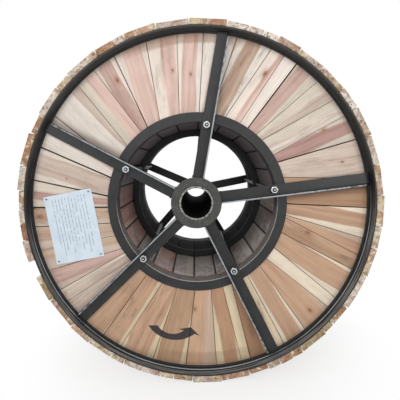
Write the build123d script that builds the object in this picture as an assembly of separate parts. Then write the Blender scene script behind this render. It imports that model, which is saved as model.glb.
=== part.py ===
from build123d import *
import math
import os

# Steel and wood cable drum, in millimetres.
# The drum's axis runs along Y through the origin, at mid width. The lettered flange faces -Y, and +Z is up.
# Angles are in degrees, counted anticlockwise from +X as seen when facing the lettered flange.

# Overall sizes
DRUM_WIDTH = 600.0
RIM_RADIUS = 525.0

# Arbor tube and the collar round its front end
BORE_RADIUS = 45.0
TUBE_WALL = 6.0
COLLAR_WIDTH = 25.0
COLLAR_STEP = 2.0
TURNED_CHAMFER = 1.5

# Steel angle sections of each flange frame
RIM_LEG = 30.0
RIM_LIP = 13.0
RIM_WALL = 4.0
RING_WIDTH = 28.0
RING_INNER_RADIUS = 246.0
SPOKE_WIDTH = 35.0
SPOKE_WALL = 4.0
SPOKE_HEEL = 11.0
SPOKE_ANGLES = [3.8, 76.7, 149.0, 221.2, 293.0]
SPOKE_END_CUT = 22.0
SPOKE_GAP = 0.4
SECTION_ROOT = 1.5
SECTION_TOE = 1.2

# Flange timber, in two layers of tapered boards
BOARD_THICKNESS = 22.0
LINING_COUNT = 36
LINING_START = 4.0
BOARD_GAP = 1.0
TIMBER_SEAT = 0.3

# Barrel: staves held from inside by a rolled hoop at mid width
STAVE_COUNT = 22
STAVE_THICKNESS = 22.0
STAVE_STEP = 1.7
STAVE_GAP = 1.2
STAVE_JOINT = 264.9
HOOP_LEG = 25.0
HOOP_WALL = 3.0
HOOP_JOINT = 264.9
HOOP_JOINT_GAP = 2.0

# Tie rods with a washer and a nut at each end
ROD_RADIUS = 6.0
ROD_TO_RING = 4.0
ROD_BACK_MARK = 20.0
ROD_CLEARANCE = 0.5
ROD_CHAMFER = 1.0
ROD_STICKOUT = 3.0
WASHER_RADIUS = 12.0
WASHER_THICKNESS = 2.5
NUT_ACROSS_FLATS = 19.0
NUT_HEIGHT = 10.0
NUT_CHAMFER_ANGLE = 30.0
THREAD_CLEARANCE = 0.1

# Lagging battens nailed round both rims
BATTEN_THICKNESS = 20.0
BATTEN_GAP = 1.0
BATTEN_SEAT = 0.2
BATTEN_GROUPS = 5

# Joints between the face boards: the angle where a joint meets the rim, the angle where it meets the
# inner ring, and how far the joint stands open.
FACE_JOINTS = [
    (4.5, 12.4, 1.4), (18.1, 22.8, 3.0), (26.8, 28.1, 1.0), (33.3, 39.9, 1.0), (41.5, 44.9, 1.0),
    (50.6, 51.6, 3.5), (55.5, 57.4, 1.0), (60.4, 67.6, 1.8), (72.6, 76.9, 1.8), (84.0, 84.6, 1.6),
    (93.0, 97.3, 1.0), (103.8, 110.5, 1.6), (115.8, 119.5, 2.4), (124.3, 124.6, 1.0), (131.8, 137.2, 1.0),
    (145.3, 151.4, 2.2), (157.2, 160.7, 4.0), (169.0, 172.9, 4.0), (178.7, 180.1, 4.5), (185.5, 190.7, 2.2),
    (193.9, 199.3, 1.0), (201.7, 208.9, 1.0), (209.6, 212.0, 1.2), (214.3, 218.3, 1.0), (222.9, 225.3, 1.0),
    (231.7, 232.5, 1.2), (239.0, 243.9, 1.2), (251.1, 254.0, 1.2), (262.8, 265.7, 1.8), (273.5, 276.1, 1.0),
    (282.3, 283.7, 1.0), (285.5, 289.9, 1.4), (298.2, 301.3, 1.4), (306.9, 311.3, 1.0), (317.9, 317.7, 1.0),
    (321.9, 326.1, 1.6), (333.1, 336.7, 1.0), (338.4, 346.6, 1.4), (344.4, 348.3, 1.4), (354.7, 355.5, 2.4),
]

# Battens round the drum: the angles of each one's two edges, and how much it is thicker or thinner than
# the usual board. The one centred on 270 degrees is the flat that the drum stands on.
BATTENS = [
    (-0.4, 8.0, 0.0), (9.1, 17.6, 0.0), (18.3, 27.4, 3.0), (27.6, 34.5, 1.0), (34.7, 42.6, -1.0),
    (44.3, 52.2, 0.0), (52.4, 59.9, 1.0), (60.1, 64.6, 0.0), (64.9, 69.6, -1.0), (69.8, 76.6, 0.0),
    (76.8, 88.1, 0.0), (89.4, 98.4, 1.0), (100.2, 109.7, 1.0), (109.9, 120.1, 2.0), (120.3, 131.6, 2.0),
    (131.8, 136.8, 1.0), (137.0, 146.7, 2.0), (147.1, 152.5, 0.0), (154.5, 164.3, 2.0), (164.6, 172.5, 2.0),
    (172.7, 178.7, 0.0), (178.9, 183.4, 1.0), (183.6, 188.9, -1.0), (189.1, 196.3, 3.0), (201.6, 210.2, 0.0),
    (210.7, 221.1, 0.0), (221.3, 228.9, 0.0), (229.1, 237.4, 0.0), (237.6, 242.0, -1.0), (242.2, 248.4, 0.0),
    (248.6, 254.6, -2.0), (254.9, 258.9, 0.0), (259.1, 265.2, 0.0), (265.4, 274.6, 0.0), (274.8, 283.7, 0.0),
    (283.9, 290.1, -2.0), (290.3, 294.2, 2.0), (294.4, 302.0, 3.0), (302.4, 311.4, 0.0), (311.6, 314.3, -1.0),
    (315.5, 321.4, 0.0), (322.2, 327.6, 0.0), (327.8, 332.7, 0.0), (333.3, 342.1, 0.0), (342.3, 349.1, 1.0),
    (349.3, 358.6, 1.0),
]

# Stations along the axis, at the front flange
FRONT_EDGE = -DRUM_WIDTH / 2
FACE_TIMBER = FRONT_EDGE + RIM_LEG
FACE_STEEL = FACE_TIMBER - RIM_WALL
FACE_SPOKE = FACE_STEEL - SPOKE_WALL
LINING_FACE = FACE_TIMBER + BOARD_THICKNESS
BARREL_END = LINING_FACE + BOARD_THICKNESS

# Radii
TUBE_RADIUS = BORE_RADIUS + TUBE_WALL
COLLAR_RADIUS = TUBE_RADIUS + COLLAR_WIDTH
RING_OUTER_RADIUS = RING_INNER_RADIUS + RING_WIDTH
RIM_LIP_RADIUS = RIM_RADIUS - RIM_LIP
TIMBER_INNER = RING_INNER_RADIUS + TIMBER_SEAT
TIMBER_OUTER = RIM_RADIUS - TIMBER_SEAT
STAVE_INNER = TIMBER_INNER + STAVE_STEP
HOOP_RADIUS = STAVE_INNER - TIMBER_SEAT
ROD_CIRCLE = RING_INNER_RADIUS - ROD_TO_RING - ROD_RADIUS
SPOKE_END = RIM_RADIUS - RIM_WALL - SECTION_ROOT - SPOKE_GAP


def at_angle(angle):
    """Turn a shape that lies along +X to its place round the drum's axis."""
    return Rot(0, -angle, 0)


def on_circle(radius, angle):
    """The point of a circle in the drum's XZ plane."""
    turn = math.radians(angle)
    return Vector(radius * math.cos(turn), 0, radius * math.sin(turn))


def angle_section(leg_x, leg_y, wall):
    """Section of a rolled steel angle, heel at the origin, with its root and toes rounded."""
    outline = Polyline((0, 0), (leg_x, 0), (leg_x, wall), (wall, wall), (wall, leg_y), (0, leg_y), (0, 0))
    section = make_face(outline)
    root = section.vertices().sort_by_distance((wall, wall))[0]
    section = fillet(root, SECTION_ROOT)
    toes = [section.vertices().sort_by_distance(toe)[0] for toe in [(leg_x, wall), (wall, leg_y)]]
    return fillet(toes, SECTION_TOE)


def turned_ring(inner, outer, low, high, edge=0.0):
    """A ring about the drum's axis, with chamfered edges if edge is set."""
    section = Pos((inner + outer) / 2, (low + high) / 2) * Rectangle(outer - inner, high - low)
    ring = revolve(section, axis=Axis.Y)
    if edge:
        ring = chamfer(ring.edges().filter_by(GeomType.CIRCLE), edge)
    return ring


def at_rod(angle):
    """The place of the tie rod that passes through a spoke, on the back mark from the spoke's heel."""
    return at_angle(angle) * Pos(ROD_CIRCLE, 0, ROD_BACK_MARK - SPOKE_HEEL)


def rod_holes(low, high, angles=SPOKE_ANGLES):
    """Cutters for the tie rods' holes, between two stations along the axis."""
    hole = Cylinder(ROD_RADIUS + ROD_CLEARANCE, high - low, rotation=(90, 0, 0))
    return [at_rod(angle) * Pos(0, (low + high) / 2, 0) * hole for angle in angles]


def make_rim():
    section = Pos(RIM_RADIUS, FACE_TIMBER) * Rot(0, 0, 180) * angle_section(RIM_LIP, RIM_LEG, RIM_WALL)
    return revolve(section, axis=Axis.Y)


def make_inner_ring():
    return turned_ring(RING_INNER_RADIUS, RING_OUTER_RADIUS, FACE_STEEL, FACE_TIMBER)


def make_spoke(angle, inner_radius):
    """A steel angle laid on the inner ring and the rim's lip, with its free leg standing forward."""
    end = math.sqrt(SPOKE_END ** 2 - max(SPOKE_HEEL, SPOKE_WIDTH - SPOKE_HEEL) ** 2)
    heel = Plane(origin=(0, FACE_STEEL, -SPOKE_HEEL), x_dir=(0, 0, 1), z_dir=(1, 0, 0))
    bar = extrude(heel * angle_section(SPOKE_WIDTH, FACE_STEEL - FRONT_EDGE, SPOKE_WALL), amount=end)
    bar -= Cylinder(inner_radius + SPOKE_GAP, DRUM_WIDTH, rotation=(90, 0, 0)).moved(Pos(0, FRONT_EDGE, 0))
    corner = Polyline((end, FACE_SPOKE), (end, FRONT_EDGE), (end - SPOKE_END_CUT, FRONT_EDGE), (end, FACE_SPOKE))
    bar -= Pos(0, 0, -SPOKE_HEEL) * extrude(make_face(corner), amount=SPOKE_WALL)
    bar -= rod_holes(FACE_SPOKE - 1, FACE_STEEL + 1, [0.0])
    return at_angle(angle) * bar


def board(joints, low, high, gap_before, gap_after):
    """A flat board between two joints, each given by its angle at the rim and at the inner ring."""
    rays = []
    for (rim_angle, ring_angle), side, gap in zip(joints, (1, -1), (gap_before, gap_after)):
        outer = on_circle(RIM_LIP_RADIUS, rim_angle)
        inner = on_circle(RING_OUTER_RADIUS, ring_angle)
        run = (outer - inner).normalized()
        aside = Vector(-run.Z, 0, run.X) * (side * gap / 2)
        rays.append((inner + aside, run))
    middle = on_circle(1, (joints[0][1] + joints[1][1]) / 2)
    inner_corners = []
    outer_corners = []
    for start, run in rays:
        inner_corners.append(start + run * ((TIMBER_INNER - start.dot(middle)) / run.dot(middle)))
        along = start.dot(run)
        reach = math.sqrt(along ** 2 + TIMBER_OUTER ** 2 - start.dot(start))
        outer_corners.append(start + run * (reach - along))
    corners = inner_corners + outer_corners[::-1]
    outline = make_face(Polyline(*corners, close=True))
    return Pos(0, low, 0) * extrude(outline, amount=high - low, dir=(0, 1, 0))


def sector_of(angle):
    """Which gap between two spokes an angle lies in, counted from the first spoke."""
    return sum(angle % 360 >= spoke for spoke in SPOKE_ANGLES) - 1


def make_face_boards():
    """The boards that show between the spokes, grouped by the sector that each one's middle lies in."""
    sectors = [[] for _ in SPOKE_ANGLES]
    following = FACE_JOINTS[1:] + [(FACE_JOINTS[0][0] + 360, FACE_JOINTS[0][1] + 360, FACE_JOINTS[0][2])]
    for first, second in zip(FACE_JOINTS, following):
        solid = board((first[:2], second[:2]), FACE_TIMBER, LINING_FACE, first[2], second[2])
        sectors[sector_of((first[0] + second[0]) / 2)].append(solid)
    return sectors


def make_lining():
    """The even second layer of boards, on the side where the cable is wound."""
    step = 360 / LINING_COUNT
    boards = []
    for k in range(LINING_COUNT):
        first = LINING_START + k * step
        joints = ((first, first), (first + step, first + step))
        boards.append(board(joints, LINING_FACE, BARREL_END, BOARD_GAP, BOARD_GAP))
    return boards


def make_staves():
    """Flat staves with bevelled sides, laid side by side round the hoop."""
    half_angle = math.radians(180 / STAVE_COUNT)
    outer = STAVE_INNER + STAVE_THICKNESS
    corners = []
    for radius, side in ((STAVE_INNER, -1), (outer, -1), (outer, 1), (STAVE_INNER, 1)):
        corners.append((radius, 0, side * (radius * math.tan(half_angle) - STAVE_GAP / 2)))
    outline = make_face(Polyline(*corners, close=True))
    stave = Pos(0, BARREL_END, 0) * extrude(outline, amount=-2 * BARREL_END, dir=(0, 1, 0))
    step = 360 / STAVE_COUNT
    return [at_angle(STAVE_JOINT + (k + 0.5) * step) * stave for k in range(STAVE_COUNT)]


def make_hoop():
    """A steel angle rolled to a hoop, with its ends butted at the lowest point, and drilled for the rods."""
    open_angle = math.degrees(HOOP_JOINT_GAP / HOOP_RADIUS)
    section = Pos(HOOP_RADIUS, -HOOP_LEG / 2) * Rot(0, 0, 90) * angle_section(HOOP_LEG, HOOP_LEG, HOOP_WALL)
    hoop = revolve(section, axis=Axis.Y, revolution_arc=360 - open_angle)
    hoop = at_angle(HOOP_JOINT - open_angle / 2) * hoop
    return hoop - rod_holes(-HOOP_LEG, HOOP_LEG)


def make_tube():
    return turned_ring(BORE_RADIUS, TUBE_RADIUS, FRONT_EDGE, -FRONT_EDGE)


def make_collar():
    return turned_ring(TUBE_RADIUS, COLLAR_RADIUS, FRONT_EDGE + COLLAR_STEP, FACE_STEEL, TURNED_CHAMFER)


def make_rod(angle):
    end = FACE_SPOKE - WASHER_THICKNESS - NUT_HEIGHT - ROD_STICKOUT
    rod = Cylinder(ROD_RADIUS, -2 * end, rotation=(90, 0, 0))
    rod = chamfer(rod.edges().filter_by(GeomType.CIRCLE), ROD_CHAMFER)
    return at_rod(angle) * rod


def make_washer(angle):
    hole = ROD_RADIUS + ROD_CLEARANCE
    washer = turned_ring(hole, WASHER_RADIUS, FACE_SPOKE - WASHER_THICKNESS, FACE_SPOKE)
    return at_rod(angle) * washer


def make_nut(angle):
    """A hexagon nut, with the corners of both faces turned off to a cone."""
    base = FACE_SPOKE - WASHER_THICKNESS
    hexagon = RegularPolygon(NUT_ACROSS_FLATS / 2, 6, major_radius=False)
    section = hexagon - Circle(ROD_RADIUS + THREAD_CLEARANCE)
    nut = extrude(Plane.XZ * section, amount=NUT_HEIGHT)
    flat = NUT_ACROSS_FLATS / 2
    corner = flat / math.cos(math.radians(30))
    drop = (corner - flat) * math.tan(math.radians(NUT_CHAMFER_ANGLE))
    profile = Polyline(
        (0, 0), (flat, 0), (corner, -drop), (corner, drop - NUT_HEIGHT), (flat, -NUT_HEIGHT), (0, -NUT_HEIGHT),
        close=True,
    )
    nut &= revolve(make_face(profile), axis=Axis.Y)
    return at_rod(angle) * Pos(0, base, 0) * nut


def make_batten(first, last, extra):
    """A flat board across both rims, as wide as its two edge angles leave at the rim."""
    half_angle = math.radians((last - first) / 2)
    width = 2 * RIM_RADIUS * math.tan(half_angle) - BATTEN_GAP
    thickness = BATTEN_THICKNESS + extra
    slab = Box(thickness, DRUM_WIDTH, width)
    return at_angle((first + last) / 2) * Pos(RIM_RADIUS + BATTEN_SEAT + thickness / 2, 0, 0) * slab


def back(shape):
    """The same piece on the far flange."""
    return mirror(shape, about=Plane.XZ)


def turned_round(shape, angle):
    """A spoke's place on the far flange, which is the same flange turned round about the line to a tie rod."""
    rod_line = at_rod(angle).position
    return shape.rotate(Axis((0, 0, 0), tuple(rod_line)), 180)


def build_parts():
    """Every node's name with its solids."""
    parts = {"arbor_tube": [make_tube()], "front_collar": [make_collar()]}
    parts["front_rim"] = [make_rim()]
    parts["front_inner_ring"] = [make_inner_ring()]
    for number, angle in enumerate(SPOKE_ANGLES, 1):
        parts[f"front_spoke_{number}"] = [make_spoke(angle, COLLAR_RADIUS)]
    parts["front_washers"] = [make_washer(angle) for angle in SPOKE_ANGLES]
    parts["front_nuts"] = [make_nut(angle) for angle in SPOKE_ANGLES]
    for number, boards in enumerate(make_face_boards(), 1):
        parts[f"front_boards_{number}"] = boards
    parts["front_lining"] = make_lining()
    for name in [name for name in parts if name.startswith("front_") and name != "front_collar"]:
        parts[name.replace("front_", "back_")] = [back(solid) for solid in parts[name]]
    for number, angle in enumerate(SPOKE_ANGLES, 1):
        parts[f"back_spoke_{number}"] = [turned_round(make_spoke(angle, TUBE_RADIUS), angle)]
        parts[f"tie_rod_{number}"] = [make_rod(angle)]
    parts["barrel_staves"] = make_staves()
    parts["barrel_hoop"] = [make_hoop()]
    battens = [make_batten(*batten) for batten in BATTENS]
    size = math.ceil(len(battens) / BATTEN_GROUPS)
    for group in range(BATTEN_GROUPS):
        parts[f"lagging_battens_{group + 1}"] = battens[group * size:(group + 1) * size]
    return parts


os.makedirs("parts", exist_ok=True)
for name, solids in build_parts().items():
    shape = solids[0] if len(solids) == 1 else Compound(children=solids)
    shape.label = name
    export_step(shape, f"parts/{name}.step")
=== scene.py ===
import math
import random

import bmesh
import bpy
from mathutils import Matrix, Vector


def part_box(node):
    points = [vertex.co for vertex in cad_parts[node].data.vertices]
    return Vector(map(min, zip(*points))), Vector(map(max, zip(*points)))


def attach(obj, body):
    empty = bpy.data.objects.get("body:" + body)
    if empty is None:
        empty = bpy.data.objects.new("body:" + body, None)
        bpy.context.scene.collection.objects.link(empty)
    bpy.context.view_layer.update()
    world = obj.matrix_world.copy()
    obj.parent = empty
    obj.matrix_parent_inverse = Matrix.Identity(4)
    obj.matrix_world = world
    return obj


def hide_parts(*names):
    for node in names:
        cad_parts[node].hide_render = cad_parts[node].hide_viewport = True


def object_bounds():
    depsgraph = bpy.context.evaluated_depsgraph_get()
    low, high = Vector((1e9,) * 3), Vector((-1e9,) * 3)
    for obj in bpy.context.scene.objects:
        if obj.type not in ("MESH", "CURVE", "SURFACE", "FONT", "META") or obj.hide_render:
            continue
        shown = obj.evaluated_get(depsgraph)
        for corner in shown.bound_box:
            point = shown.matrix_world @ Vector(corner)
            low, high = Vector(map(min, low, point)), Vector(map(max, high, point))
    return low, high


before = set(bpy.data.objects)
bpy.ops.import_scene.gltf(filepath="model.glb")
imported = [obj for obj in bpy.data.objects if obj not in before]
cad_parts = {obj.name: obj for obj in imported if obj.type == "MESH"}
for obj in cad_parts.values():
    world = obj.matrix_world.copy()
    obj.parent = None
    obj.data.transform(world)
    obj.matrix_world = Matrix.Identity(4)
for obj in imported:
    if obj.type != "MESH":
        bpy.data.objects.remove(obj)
cad_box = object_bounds()

bl_info = {
    "name": "Cable Drum",
    "version": (1, 0, 0),
    "blender": (4, 5, 0),
    "location": "3D View > Sidebar > Cable Drum",
    "description": "Builds the visual model of a steel and wood cable drum round its packed frame",
    "category": "Object",
}

MM = 0.001
MERGE_DISTANCE = 0.01 * MM
FLAT_ANGLE = math.radians(1)
SHARP_ANGLE = math.radians(35)
SECTORS = range(1, 6)
SEEDS = {"face": 11, "lining": 23, "staves": 31, "battens": 47, "welds": 5, "nails": 3}

# Stations along the drum's axis and radii, all but STEEL_WALL and RING_WIDTH read from the frame
FLANGE_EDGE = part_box("front_rim")[0].y
TIMBER_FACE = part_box("front_boards_1")[0].y
TIMBER_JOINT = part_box("front_boards_1")[1].y
BARREL_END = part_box("front_lining")[1].y
SPOKE_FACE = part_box("front_inner_ring")[0].y
RIM_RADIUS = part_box("front_rim")[1].z
STEEL_WALL = 4 * MM
RIM_INNER = RIM_RADIUS - STEEL_WALL
RING_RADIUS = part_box("front_inner_ring")[1].z
RING_WIDTH = 28 * MM
RING_INNER = RING_RADIUS - RING_WIDTH
BARREL_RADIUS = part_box("barrel_hoop")[1].z
TUBE_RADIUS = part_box("arbor_tube")[1].z
COLLAR_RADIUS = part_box("front_collar")[1].z
COLLAR_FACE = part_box("front_collar")[0].y
FLOOR_LEVEL = cad_box[0][2]

# The steel angles that make the spokes: where each one lies, the two beside which a shadow is painted on the
# boards, and its section
SPOKE_ANGLES = [3.8, 76.7, 149.0, 221.2, 293.0]
SHADED_SPOKES = (3.8, 149.0)
SPOKE_HEEL = 11 * MM
SPOKE_WIDTH = 35 * MM

# The stretches of a spoke that are welded, as radii: across the ring and at the rim
SPOKE_WELDS = ((RING_RADIUS - 26 * MM, RING_RADIUS - 2 * MM), (RIM_RADIUS - 13 * MM, RIM_RADIUS - 6 * MM))
COLLAR_BEAD = 2.2 * MM

# How many times each board is cut across its run, so that it can be bent
BOARD_CUTS = 7
BATTEN_CUTS = 9

# The nails: how thick their heads are, how far the battens' lie from the edges of the flange's two layers
# and how far aside, and how far along and aside those of a lining board lie, as shares of it
NAIL_HEAD = 1.2 * MM
NAIL_EDGE = 11 * MM
BATTEN_NAILS = ((TIMBER_FACE + NAIL_EDGE, -0.26), (BARREL_END - NAIL_EDGE, 0.26))
LINING_NAILS = ((0.42, 0.3), (0.42, -0.3), (-0.36, 0.18), (-0.36, -0.18))

# The laminated sheet: where its middle lies, its turn in degrees, its mesh's cells, its printed rows, how
# far it lies off the boards, billows and curls at its ends, and its tacks
LABEL_MIDDLE = Vector((-387.0 * MM, 0, -54.8 * MM))
LABEL_TURN = -7.5
LABEL_CELLS = (22, 30)
LABEL_ROWS = 15.0
LABEL_LIFT = 0.8 * MM
LABEL_BILLOW = 3.0 * MM
LABEL_CURL = 1.6 * MM
TACK_ASIDE = 0.44
TACK_ABOVE = 0.46
TACK_RADIUS = 2.4 * MM
TACK_STAND = 3.4 * MM

# The photo's camera: its place, its lens in millimetres, its shift and its turns in degrees
CAMERA_PLACE = (4.5 * MM, -1226.9 * MM, 121.3 * MM)
CAMERA_SENSOR = 36
CAMERA_LENS = 28.09
CAMERA_SHIFT = (0.0451, -0.0704)
CAMERA_PAN = 2.541
CAMERA_TILT = 90 - 1.569
CAMERA_ROLL = -3.65

# The lamps: where each hangs and how wide it is, in metres, and the setting that its power is a share of
LAMPS = {
    "key_lamp": ((-1.0, -3.2, 1.8), 2.6, "key_power", 1.0),
    "fill_lamp": ((1.8, -3.0, 0.6), 2.2, "key_power", 0.5),
    "top_lamp": ((0.0, -0.4, 2.6), 2.4, "top_power", 1.0),
    "back_lamp": ((1.6, 3.0, 1.8), 2.4, "key_power", 0.5),
}

# The floor's size in metres, and the radii between which it fades to plain white
FLOOR_REACH = 6.0
SHADOW_RADII = (0.2, 0.7)

# How fine the patterns in timber are, along, across and into a board, in changes to the metre
GRAIN_SCALES = {
    "slow": (6, 6, 9), "broad": (3, 60, 60), "streak": (5, 190, 190), "fibre": (60, 1500, 1500),
    "patch": (9, 26, 9), "blot": (12, 55, 20), "speck": (9, 14, 2), "saw": (420, 12, 12),
}

# How uneven the sawn boards are: how far the face boards cup and sway, how far the lining sways, how far a
# batten's sides wave and its ends slant, how far it may reach past its CAD outline, and half its joint
BOARD_CUP = 0.5 * MM
BOARD_SWAY = 0.25 * MM
LINING_SWAY = 0.3 * MM
BATTEN_WAVE = 0.4 * MM
BATTEN_SLANT = 2.4 * MM
BATTEN_SPREAD = 9 * MM
BATTEN_JOINT = 0.9 * MM

# Plain names for the colours of the sawn timber, as red, green and blue out of 255
TIMBER_COLOURS = {
    "bone": (226, 215, 204), "cream": (223, 209, 197), "ivory": (221, 207, 186), "linen": (208, 196, 180),
    "blush": (211, 182, 169), "dun": (198, 180, 166), "rose": (194, 163, 152), "salmon": (176, 141, 132),
    "sand": (188, 164, 144), "honey": (186, 152, 125), "tan": (177, 145, 116), "straw": (206, 188, 158),
    "brown": (172, 136, 107), "umber": (156, 120, 90), "orange": (178, 140, 110), "rust": (156, 116, 88),
    "olive": (166, 148, 112), "grey": (188, 180, 166), "slate": (132, 127, 124), "ash": (164, 157, 151),
}

# The colours of the marks on timber, steel and paper, painted shade, shadows, light and highlights among
# them
MARK_COLOURS = {
    "streak": (160, 110, 92), "stain": (118, 88, 64), "knot": (164, 118, 92), "knot_ring": (118, 78, 58),
    "knot_edge": (168, 124, 102), "knot_heart": (74, 48, 38), "pinhole": (104, 70, 52),
    "joint": (38, 33, 31), "weathered": (112, 102, 94), "mouth_shade": (60, 56, 57),
    "mouth_light": (134, 122, 116), "rim_stain": (146, 108, 84), "damp": (128, 94, 68),
    "smudge": (96, 80, 68), "arrow": (40, 38, 41), "spoke_shade": (84, 58, 46),
    "brown_blotch": (142, 98, 64), "pale_blotch": (236, 224, 200), "speck": (66, 48, 37),
    "contact": (34, 30, 28), "stave_dirt_and_shade": (118, 109, 116), "stave_light_patch": (206, 194, 192),
    "stave_joint": (30, 27, 27), "far_barrel_shade": (14, 14, 16), "faded_paint": (50, 51, 49),
    "grit": (104, 102, 98), "rim_top_light": (80, 80, 79), "highlight_line": (206, 210, 212),
    "sheen_band": (146, 150, 152), "dark_front_edge": (14, 14, 14), "bright_toe": (164, 170, 176),
    "sawn_steel": (172, 172, 164), "soot": (9, 10, 9), "lip_highlight": (186, 188, 186),
    "rod_end_highlight": (214, 216, 218), "dusty_paint": (72, 74, 69), "spatter": (142, 142, 134),
    "zinc_bloom": (150, 150, 150), "paper_shade": (190, 206, 222), "ink": (80, 92, 108),
}

# The face boards of the near flange: the angle of each one's middle at the rim, the angles that its
# heartwood lies between, and the colours of its sapwood and heartwood
FACE_LOOKS = [
    (11, 7, 16, "dun", "dun"), (22, 20.5, 27, "linen", "salmon"), (30, 28, 31, "linen", "cream"),
    (37, 33, 39, "linen", "dun"), (46, 45, 51, "linen", "rose"), (53, 53, 54, "bone", "cream"),
    (58, 55, 59, "cream", "blush"), (66, 65.8, 73, "bone", "sand"), (78, 79, 81, "bone", "dun"),
    (88, 86.5, 93, "bone", "blush"), (98, 94.5, 101, "cream", "blush"), (110, 107.5, 116, "cream", "blush"),
    (120, 118, 124.5, "cream", "rose"), (128, 124, 130, "linen", "blush"), (138, 131, 137, "bone", "dun"),
    (151, 150, 153, "bone", "dun"), (163, 160, 169, "cream", "dun"), (174, 173.5, 177.5, "linen", "salmon"),
    (182, 179, 185, "dun", "sand"), (190, 186, 194, "dun", "sand"), (198, 194, 201, "dun", "sand"),
    (205, 202, 210, "dun", "rose"), (212, 212.5, 215, "linen", "dun"), (218, 214, 223, "dun", "dun"),
    (227, 222, 232.3, "straw", "honey"), (235, 231, 239.3, "straw", "honey"),
    (245, 239.8, 251, "straw", "honey"), (257, 252.2, 263, "straw", "tan"),
    (268, 262, 270.5, "sand", "honey"), (278, 276.5, 283, "straw", "brown"),
    (284, 284, 285, "straw", "straw"), (292, 285, 292, "straw", "umber"),
    (302, 300.5, 308, "ivory", "honey"), (312, 307, 318, "sand", "honey"),
    (320, 320, 321, "ivory", "ivory"), (327, 324.5, 334, "ivory", "honey"), (336, 333, 339, "honey", "tan"),
    (341, 338, 345, "sand", "honey"), (350, 348.3, 355, "ivory", "honey"),
    (359.6, 355, 364, "tan", "brown"),
]

# How strongly some of those boards are stained, by the angle of each one's middle
STAINED_BOARDS = {235: 0.6, 227: 0.3, 245: 0.35, 292: 0.5, 66: 0.4, 182: 0.4, 336: 0.5, 320: 0.1}

# Knots that show in the face boards: angle, radius and size in millimetres. A board without one has its
# knot far away.
NO_KNOT = Vector((9.0, 9.0, 0.5 * MM))
FACE_KNOTS = [
    (26, 440, 4), (58.5, 440, 6), (89, 390, 3), (96.5, 408, 3), (119.5, 446, 5), (166.5, 410, 2),
    (182.5, 495, 8), (265.5, 335, 4), (287.8, 390, 2), (313, 480, 5), (341, 350, 6), (12, 455, 3),
]

# The painted roll arrow, in millimetres across and up from the drum's axis: the circles that bound its
# curved body, each with its middle and radius, the line that ends its tail, and its head's left, tip and
# right corners
ARROW_OUTER = (-87, -328, 100.5)
ARROW_INNER = (-95, -351.5, 57)
ARROW_TAIL = ((-173, -378), (-141, -380))
ARROW_HEAD = ((-79, -394), (-41.5, -389.5), (-15, -418))

# Sapwood and heartwood of the lining boards
LINING_TONES = [("linen", "tan"), ("cream", "sand"), ("sand", "tan"), ("straw", "brown"), ("dun", "rose")]

# Sapwood and heartwood of the barrel's staves: reddish ones at some angles and grey ones elsewhere
WARM_ANGLES = ((160, 215), (235, 245))
WARM_STAVES = (("dun", "rose"), ("sand", "salmon"))
GREY_STAVES = (("ash", "ash"), ("ash", "slate"), ("grey", "ash"))

# How far below the drum's right, in degrees, the battens' order starts, and their colours anticlockwise
BATTEN_START = 10
BATTEN_TONES = (
    "straw linen linen bone dun dun sand cream bone bone honey dun honey orange linen straw linen orange "
    "brown linen tan dun rust dun olive tan honey straw sand linen cream straw straw straw tan umber linen "
    "brown olive olive brown linen linen tan ivory straw"
).split()


def linear(colour):
    """A colour out of 255 on the screen, as linear red, green and blue."""
    scaled = [channel / 255 for channel in colour]
    return tuple(c / 12.92 if c <= 0.04045 else ((c + 0.055) / 1.055) ** 2.4 for c in scaled)


def mark(name):
    """The colour of a mark, opaque."""
    return (*linear(MARK_COLOURS[name]), 1.0)


def on_circle(radius, angle, station):
    """A point at a radius and an angle in degrees round the drum's axis, at a station along it."""
    turn = math.radians(angle)
    return Vector((radius * math.cos(turn), station, radius * math.sin(turn)))


def angle_of(point):
    return math.degrees(math.atan2(point.z, point.x)) % 360


def length_setting(name, description, default):
    return bpy.props.FloatProperty(name=name, description=description, default=default, unit="LENGTH")


def colour_setting(name, description, default):
    return bpy.props.FloatVectorProperty(
        name=name, description=description, default=linear(default), size=3, subtype="COLOR",
    )


class DrumSettings(bpy.types.PropertyGroup):
    """Sizes and colours of the drum's visual model"""

    board_edge: length_setting("Board edge", "How far the edges of the boards are eased", 1.0 * MM)
    board_sink: length_setting("Board sink", "How far a face board may lie back from the steel", 0.7 * MM)
    nail_radius: length_setting("Nail radius", "Radius of a nail's head", 3.2 * MM)
    weld_radius: length_setting("Weld radius", "Radius of a weld bead", 3.0 * MM)
    label_size: bpy.props.FloatVectorProperty(
        name="Label size", description="Width and height of the laminated sheet", size=2,
        default=(154 * MM, 216 * MM), unit="LENGTH",
    )
    steel_colour: colour_setting("Steel paint", "Colour of the frame's black paint", (26, 27, 27))
    zinc_colour: colour_setting("Zinc", "Colour of the plated nuts and nails", (196, 198, 202))
    label_colour: colour_setting("Label", "Colour of the laminated sheet", (213, 226, 236))
    sky_level: bpy.props.FloatProperty(
        name="Sky level", description="Strength of the even light from all round", default=0.34,
    )
    key_power: bpy.props.FloatProperty(
        name="Key lamp", description="Power of the large lamp above and in front", default=52.0,
        unit="POWER",
    )
    top_power: bpy.props.FloatProperty(
        name="Top lamp", description="Power of the overhead lamp", default=20.0, unit="POWER",
    )


def math_node(operation, swapped=False):
    """A method of a shade that adds a Math node, with the two values changed round if swapped."""
    def method(self, *others):
        values = (*others, self) if swapped else (self, *others)
        return self.nodes.add("Math", dict(enumerate(values)), operation=operation)
    return method


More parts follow.
